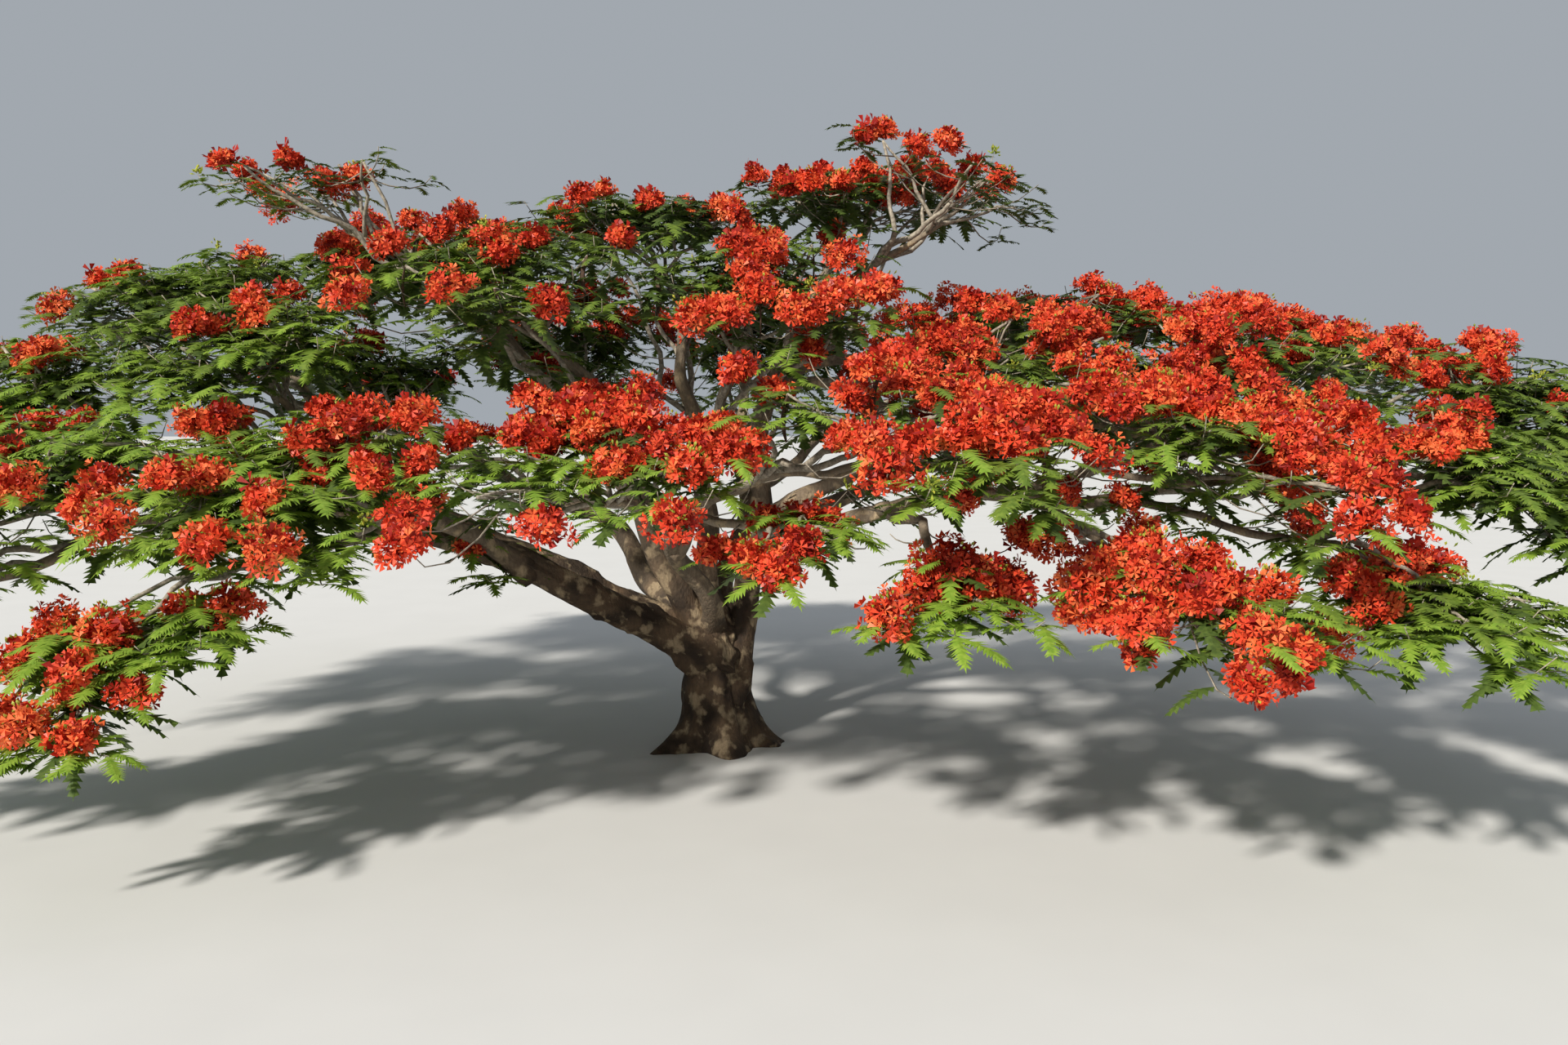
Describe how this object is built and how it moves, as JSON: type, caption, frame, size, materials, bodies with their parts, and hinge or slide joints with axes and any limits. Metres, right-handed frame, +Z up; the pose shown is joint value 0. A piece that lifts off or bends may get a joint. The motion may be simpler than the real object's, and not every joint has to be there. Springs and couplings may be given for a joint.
{
  "type": "flame tree",
  "caption": "Old flame tree in full bloom: ribbed trunk forking low, arching boughs and a very wide, flat umbrella crown of feathery leaves under scarlet blossom.",
  "frame": {"origin": "the centre of the trunk's flat cut at ground level", "axes": "+Z up; +X along the widest spread of the crown, to the right as the picture shows it; -Y towards the camera"},
  "size_m": [24.3326, 14.1985, 8.6372],
  "materials": {
    "bark": "rough grey-brown bark with pale lichen on the lit side",
    "leaf": "feathery twice-divided leaves, bright to deep green",
    "blossom": "scarlet to orange flowers in dense domes"
  },
  "bodies": {
    "root": {"trunk": "bark", "bough_left_low": "bark", "bough_left": "bark", "bough_left_back": "bark", "bough_upper_left": "bark", "bough_front": "bark", "bough_middle": "bark", "bough_back": "bark", "stem_right": "bark", "bough_right_front": "bark", "bough_right": "bark", "bough_right_back": "bark", "limb_front_2": "bark", "limb_skirt_left_1": "bark", "limb_mid_back_1": "bark", "limb_back_2": "bark", "limb_head_left": "bark", "limb_mid_back_2": "bark", "limb_front_4": "bark", "limb_mid_front_4": "bark", "limb_back_4": "bark", "limb_mid_front_5": "bark", "limb_mid_back_5": "bark", "limb_front_5": "bark", "limb_skirt_right_2": "bark", "limb_mid_back_6": "bark", "foliage_front_1": "leaf", "foliage_mid_front_1": "leaf", "foliage_back_1": "leaf", "foliage_mid_front_3": "blossom", "foliage_front_3": "blossom", "foliage_mid_back_3": "blossom", "foliage_back_3": "blossom", "foliage_mid_back_4": "blossom", "foliage_front_6": "blossom", "foliage_mid_front_7": "blossom", "foliage_back_5": "blossom", "foliage_front_2": "leaf", "foliage_skirt_left_1": "blossom", "foliage_mid_back_1": "leaf", "foliage_back_2": "blossom", "foliage_head_left": "blossom", "foliage_mid_back_2": "leaf", "foliage_front_4": "blossom", "foliage_mid_front_4": "blossom", "foliage_back_4": "blossom", "foliage_mid_front_5": "blossom", "foliage_mid_back_5": "blossom", "foliage_front_5": "blossom", "foliage_skirt_right_2": "blossom", "foliage_mid_back_6": "blossom", "foliage_skirt_left_2": "leaf", "foliage_mid_front_2": "leaf", "foliage_skirt_middle": "blossom", "foliage_skirt_right_1": "blossom", "foliage_skirt_right_3": "blossom", "foliage_mid_front_6": "blossom", "foliage_head_right": "blossom"}
  },
  "joints": []
}
